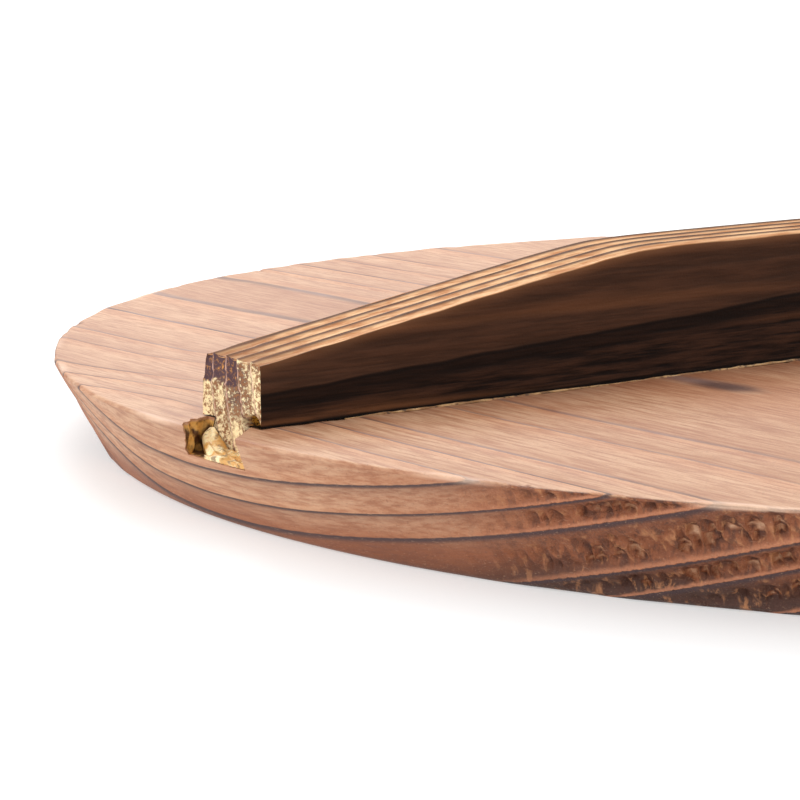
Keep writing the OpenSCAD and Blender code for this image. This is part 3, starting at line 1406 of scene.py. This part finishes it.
@dataclass(frozen=True)
class HandleFinish:
    """Deeply scorched fir: pale ridges on top, nearly black sides and a raw, glue-smeared end."""

    rings: bpy.types.NodeTree
    fibre: bpy.types.NodeTree
    fibre_scale: Scale = (70.0, 1100.0, 1100.0)
    black: Colour = srgb(20, 11, 8)
    side: Colour = srgb(66, 42, 30)
    side_pale: Colour = srgb(122, 78, 48)
    side_warm: Colour = srgb(98, 66, 48)
    top: Colour = srgb(232, 187, 142)
    top_deep: Colour = srgb(186, 124, 78)
    groove: Colour = srgb(74, 46, 32)
    cream: Colour = srgb(248, 224, 176)
    orange: Colour = srgb(206, 142, 74)
    violet: Colour = srgb(84, 62, 66)
    # Colour of the painted highlight on the end grain's ring ridges.
    ridge_highlight: Colour = srgb(214, 170, 150)
    foot: Colour = srgb(14, 8, 6)
    hole: Colour = srgb(70, 44, 20)
    hole_pale: Colour = srgb(196, 140, 52)
    specular: float = 0.08
    relief: float = 0.2 * MM
    line_z: float = 31.0 * MM
    line_climb: float = 0.0575
    burnt_z: tuple[float, float] = (24.9 * MM, 25.7 * MM)
    cream_z: tuple[float, float] = (21 * MM, 15 * MM)
    singed_x: tuple[float, float] = (-156 * MM, -171 * MM)
    glow_x: tuple[float, float] = (-128 * MM, -166 * MM)
    foot_z: tuple[float, float] = (17.1 * MM, 16.6 * MM)

    def end_colour(self, bench: Bench, place: Socket, rings: bpy.types.bpy_prop_collection) -> Socket:
        """Colour of the raw end faces.

        Args:
            bench: The material's bench.
            place: Object coordinates.
            rings: Outputs of the placed ring group.

        Returns:
            The colour socket.
        """
        height = bench.axes(place)
        fine = bench.clouds(place, 1500.0, 4.0, 0.72)
        broad = bench.clouds(place, 230.0, 3.0, 0.6)
        lean = bench.maths("ABSOLUTE", bench.plus(height["Y"], 1.2 * MM))
        bias = bench.times(lean, 16.0)
        grain = bench.plus(fine, bench.less(bias, 0.075))
        grain = bench.plus(grain, bench.times(bench.less(broad, 0.5), 0.35))
        raw = bench.over(self.violet, self.cream, grain, 0.44, 0.62)
        raw = bench.over(raw, self.orange, fine, 0.56, 0.44, 0.35)
        ragged = bench.plus(height["Z"], bench.times(broad, 5 * MM))
        burn_z = bench.between(ragged, *self.burnt_z)
        burn_y = bench.between(height["Y"], -2.2 * MM, -0.4 * MM)
        burn = bench.times(burn_z, burn_y)
        scorched = bench.over(self.violet, self.orange, fine, 0.5, 0.72)
        low_cream = bench.between(broad, 0.55, 0.66)
        raw = bench.mix(bench.times(low_cream, 0.75), raw, self.cream)
        foot = bench.times(bench.between(height["Z"], *self.cream_z),
                           bench.between(fine, 0.44, 0.52))
        raw = bench.mix(bench.times(foot, 0.7), raw, self.cream)
        made = bench.mix(burn, raw, scorched)
        made = bench.mix(bench.times(rings["Early"], 0.55), made, self.violet)
        # Painted highlight on the proud late-wood ridge of each ring on the end faces.
        return bench.mix(bench.times(rings["Line"], 0.8), made, self.ridge_highlight)

    def grain_line(self, bench: Bench, place: Socket, flank: Socket) -> Socket:
        """Darkens the flanks along one dark growth line that climbs from the left end, and along the foot.

        Args:
            bench: The material's bench.
            place: Object coordinates.
            flank: Colour of the flank so far.

        Returns:
            The colour socket.
        """
        axes = bench.axes(place)
        wave = bench.clouds(bench.stretched(place, (28.0, 4.0, 60.0)), 1.0, 3.0, 0.55)
        streak = bench.clouds(bench.stretched(place, (60.0, 200.0, 700.0)), 1.0, 4.0, 0.6)
        climb = bench.times(axes["X"], self.line_climb)
        level = bench.less(axes["Z"], climb)
        level = bench.less(level, bench.times(wave, 2.4 * MM))
        line = bench.between(bench.maths("ABSOLUTE", bench.less(level, self.line_z)), 0.55 * MM, 0.1 * MM)
        above = bench.times(bench.between(level, 30.9 * MM, 31.3 * MM), 0.3)
        below = bench.times(bench.between(level, 26.4 * MM, 30.0 * MM),
                            bench.between(level, 31.2 * MM, 30.9 * MM))
        made = bench.mix(above, flank, self.side_warm)
        made = bench.mix(bench.times(below, 0.75), made, self.black)
        made = bench.mix(bench.times(line, 0.85), made, self.black)
        glow = bench.times(bench.between(axes["X"], *self.glow_x),
                           bench.between(level, 28.5 * MM, 24 * MM))
        glow = bench.times(glow, bench.between(streak, 0.42, 0.62))
        made = bench.mix(bench.times(glow, 0.8), made, self.side_pale)
        foot = bench.less(axes["Z"], bench.times(wave, 1.6 * MM))
        return bench.over(made, self.foot, foot, *self.foot_z)

    def make(self) -> bpy.types.Material:
        """Builds the material."""
        material, bench, principled = shader("charred_fir")
        place = bench.object_place()
        top, end = bench.attribute("top"), bench.attribute("end_grain")
        fibre = bench.group(self.fibre, Vector=bench.stretched(place, self.fibre_scale))
        rings = bench.group(self.rings, Ring=bench.attribute("ring"), Wobble=0.06,
                            Vector=bench.stretched(place, (60.0, 400.0, 400.0)))
        grit = bench.clouds(place, 2400.0, 2.0, 0.6)
        seams = bench.clouds(bench.stretched(place, (7.0, 40.0, 190.0)), 1.0, 3.0, 0.5)
        flank = bench.over(self.black, self.side, fibre["Fibre"], 0.34, 0.7)
        flank = bench.over(flank, self.side_pale, seams, 0.55, 0.75, 0.45)
        flank = self.grain_line(bench, place, flank)
        # Painted highlight along the top of each flank, below the rounded arris.
        flank = bench.mix(bench.times(bench.attribute("arris_highlight"), 0.6), flank, self.side_pale)
        crest = bench.over(self.top_deep, self.top, fibre["Fibre"], 0.32, 0.66)
        crest = bench.mix(bench.times(rings["Early"], 0.85), crest, self.top_deep)
        groove = bench.times(bench.between(rings["Late"], 0.25, 0.8), 0.94)
        crest = bench.mix(groove, crest, self.groove)
        along = bench.axes(place)
        singed = bench.times(bench.between(along["X"], *self.singed_x), 0.45)
        crest = bench.mix(singed, crest, self.side_pale)
        made = bench.over(flank, crest, top, 0.25, 0.75)
        made = bench.over(made, self.end_colour(bench, place, rings), end, 0.3, 0.7)
        amber = bench.over(self.hole, self.hole_pale, grit, 0.4, 0.6)
        made = bench.over(made, amber, bench.attribute("pocket"), 0.2, 0.6)
        rough = bench.plus(0.42, bench.times(fibre["Fibre"], 0.3))
        principled.inputs["Specular IOR Level"].default_value = self.specular
        relief = bench.plus(fibre["Fibre"], bench.times(grit, 0.4))
        bench.coat(principled, made, rough, bench.bump(relief, self.relief, 0.9))
        return material


@dataclass(frozen=True)
class GlueFinish:
    """Dried glue, amber where it is thick and chalky cream where it is thin."""

    name: str = "set_glue"
    cream: Colour = srgb(246, 226, 178)
    amber: Colour = srgb(214, 160, 86)
    stain: Colour = srgb(112, 76, 46)
    relief: float = 0.2 * MM

    def make(self) -> bpy.types.Material:
        """Builds the material."""
        material, bench, principled = shader(self.name)
        place = bench.object_place()
        cloud = bench.clouds(place, 300.0, 4.0, 0.6)
        dirt = bench.clouds(place, 720.0, 3.0, 0.6)
        made = bench.over(self.amber, self.cream, cloud, 0.42, 0.62)
        made = bench.over(made, self.stain, dirt, 0.53, 0.66, 0.75)
        rough = bench.plus(0.28, bench.times(dirt, 0.35))
        principled.inputs["Subsurface Weight"].default_value = 0.15
        principled.inputs["Subsurface Radius"].default_value = (1.2 * MM, 0.7 * MM, 0.3 * MM)
        bench.coat(principled, made, rough, bench.bump(dirt, self.relief, 0.7))
        return material


@dataclass(frozen=True)
class BambooFinish:
    """Split bamboo with dark vascular streaks."""

    fibre: bpy.types.NodeTree
    fibre_scale: Scale = (50.0, 1500.0, 1500.0)
    pale: Colour = srgb(232, 208, 152)
    deep: Colour = srgb(178, 140, 82)
    relief: float = 0.15 * MM

    def make(self) -> bpy.types.Material:
        """Builds the material."""
        material, bench, principled = shader("bamboo")
        fibre = bench.group(self.fibre, Vector=bench.stretched(bench.object_place(), self.fibre_scale))
        made = bench.over(self.deep, self.pale, fibre["Fibre"], 0.35, 0.68)
        rough = bench.plus(0.4, bench.times(fibre["Pore"], 0.2))
        bench.coat(principled, made, rough, bench.bump(fibre["Fibre"], self.relief, 0.6))
        return material


def dress(piece: bpy.types.Object, material: bpy.types.Material) -> None:
    """Gives a piece one material."""
    piece.data.materials.clear()
    piece.data.materials.append(material)


# ---------------------------------------------------------------- studio


@dataclass(frozen=True)
class Studio:
    """Pale floor, soft light and the camera."""

    camera_place: tuple[float, float, float] = (-0.39497, -0.36357, 0.09257)
    azimuth: float = -35.14
    elevation: float = 9.64
    roll: float = -0.525
    lens: float = 122.13
    sensor: float = 36.0
    surround: float = 1.05
    floor_tones: tuple[Colour, Colour] = ((0.58, 0.58, 0.58), (0.6, 0.6, 0.6))
    floor_glow: float = 0.4
    floor_half: float = 6.0

    def camera(self) -> None:
        """Places the camera."""
        data = bpy.data.cameras.new("camera")
        data.lens, data.sensor_width = self.lens, self.sensor
        data.clip_start, data.clip_end = 0.02, 20.0
        rig = bpy.data.objects.new("camera", data)
        a, e = math.radians(self.azimuth), math.radians(self.elevation)
        back = Vector((math.sin(a) * math.cos(e), -math.cos(a) * math.cos(e), math.sin(e)))
        rig.rotation_mode = "QUATERNION"
        roll = Quaternion((0, 0, 1), math.radians(self.roll))
        rig.rotation_quaternion = (-back).to_track_quat("-Z", "Y") @ roll
        rig.location = self.camera_place
        bpy.context.scene.collection.objects.link(rig)
        bpy.context.scene.camera = rig

    def floor(self) -> None:
        """Lays a large pale floor just under the lid."""
        shape = bmesh.new()
        bmesh.ops.create_grid(shape, x_segments=8, y_segments=8, size=self.floor_half)
        bmesh.ops.translate(shape, verts=shape.verts, vec=(0, 0, -0.05 * MM))
        piece = finish_mesh("floor", shape)
        material, bench, principled = shader("pale_floor")
        cloud = bench.clouds(bench.object_place(), 3.0)
        made = bench.mix(cloud, *self.floor_tones)
        bench.feed(principled.inputs["Base Color"], made)
        principled.inputs["Emission Color"].default_value = (1.0, 1.0, 1.0, 1.0)
        principled.inputs["Emission Strength"].default_value = self.floor_glow
        principled.inputs["Roughness"].default_value = 0.6
        principled.inputs["Specular IOR Level"].default_value = 0.2
        dress(piece, material)

    def lamp(self, name: str, place: tuple[float, float, float], size: float, watts: float) -> None:
        """Hangs one soft lamp that points at the middle of the lid.

        Args:
            name: Name of the lamp.
            place: Where it hangs, in metres.
            size: Length of its sides.
            watts: Its power.
        """
        data = bpy.data.lights.new(name, "AREA")
        data.shape, data.size, data.energy = "SQUARE", size, watts
        rig = bpy.data.objects.new(name, data)
        rig.location = place
        rig.rotation_mode = "QUATERNION"
        rig.rotation_quaternion = (-Vector(place)).to_track_quat("-Z", "Y")
        bpy.context.scene.collection.objects.link(rig)

    def lights(self) -> None:
        """Sets a white surround, a key from behind and a low fill."""
        world = bpy.data.worlds.new("surround")
        world.use_nodes = True
        ground = world.node_tree.nodes["Background"]
        ground.inputs["Color"].default_value = (1.0, 1.0, 1.0, 1.0)
        ground.inputs["Strength"].default_value = self.surround
        bpy.context.scene.world = world
        self.lamp("key", place=(0.5, 1.2, 1.1), size=0.9, watts=11.0)
        self.lamp("fill", place=(-1.4, 0.1, 0.9), size=0.8, watts=8.0)
        bpy.context.scene.view_settings.view_transform = "Standard"


def main() -> None:
    """Builds the lid piece by piece, dresses it and sets the studio."""
    logging.basicConfig(level=logging.INFO, format="%(name)s: %(message)s")
    _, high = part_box("board_middle")
    bar_low, bar_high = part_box("handle_bar")
    sizes = LidSizes(rim_r=high.y, thickness=high.z, seam_x=high.x)
    rings, fibre = ring_group(), fibre_group()
    fir = BoardFinish(rings, fibre).make()
    charred = HandleFinish(rings, fibre).make()
    glue, bamboo = GlueFinish().make(), BambooFinish(fibre).make()
    smeared = GlueFinish("smeared_glue", srgb(188, 148, 100), srgb(138, 96, 54), srgb(52, 32, 20)).make()

    mouth = BrokenMouth(sizes)
    boards = [
        (Board("board_left", sizes, LEFT_RINGS, start_deg=108.5, sweep_deg=143.0, steps=560,
               inner_r=58 * MM, top_rows=110, bevel_rows=36), [mouth.cutter()]),
        (Board("board_middle", sizes, MIDDLE_RINGS, start_deg=0.0, sweep_deg=360.0, steps=720,
               inner_r=0.0, top_rows=100, bevel_rows=24), []),
        (Board("board_right", sizes, RIGHT_RINGS, start_deg=-71.5, sweep_deg=143.0, steps=540,
               inner_r=58 * MM, top_rows=104, bevel_rows=34), []),
    ]
    bar = BarHandle(sizes, bar_high.y - bar_low.y, bar_high.z - sizes.thickness)
    beads = [GlueBead("glue_bead_front", Face.FRONT, sizes, bar.width),
             GlueBead("glue_bead_back", Face.BACK, sizes, bar.width)]
    built = [(board.make(extra), fir) for board, extra in boards]
    built += [(bar.make(), charred), (mouth.glue(), glue), (RightPlug(sizes).make(), glue)]
    built += [(bead.make(), smeared) for bead in beads]
    for piece, material in built:
        dress(piece, material)
        LOG.info("%s: %d vertices", piece.name, len(piece.data.vertices))

    for node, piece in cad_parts.items():
        if node.startswith("dowel_"):
            dress(piece, bamboo)
            LOG.info("%s: bamboo on the frame's own shape", node)

    studio = Studio()
    studio.camera()
    studio.floor()
    studio.lights()


if __name__ == "__main__":
    main()
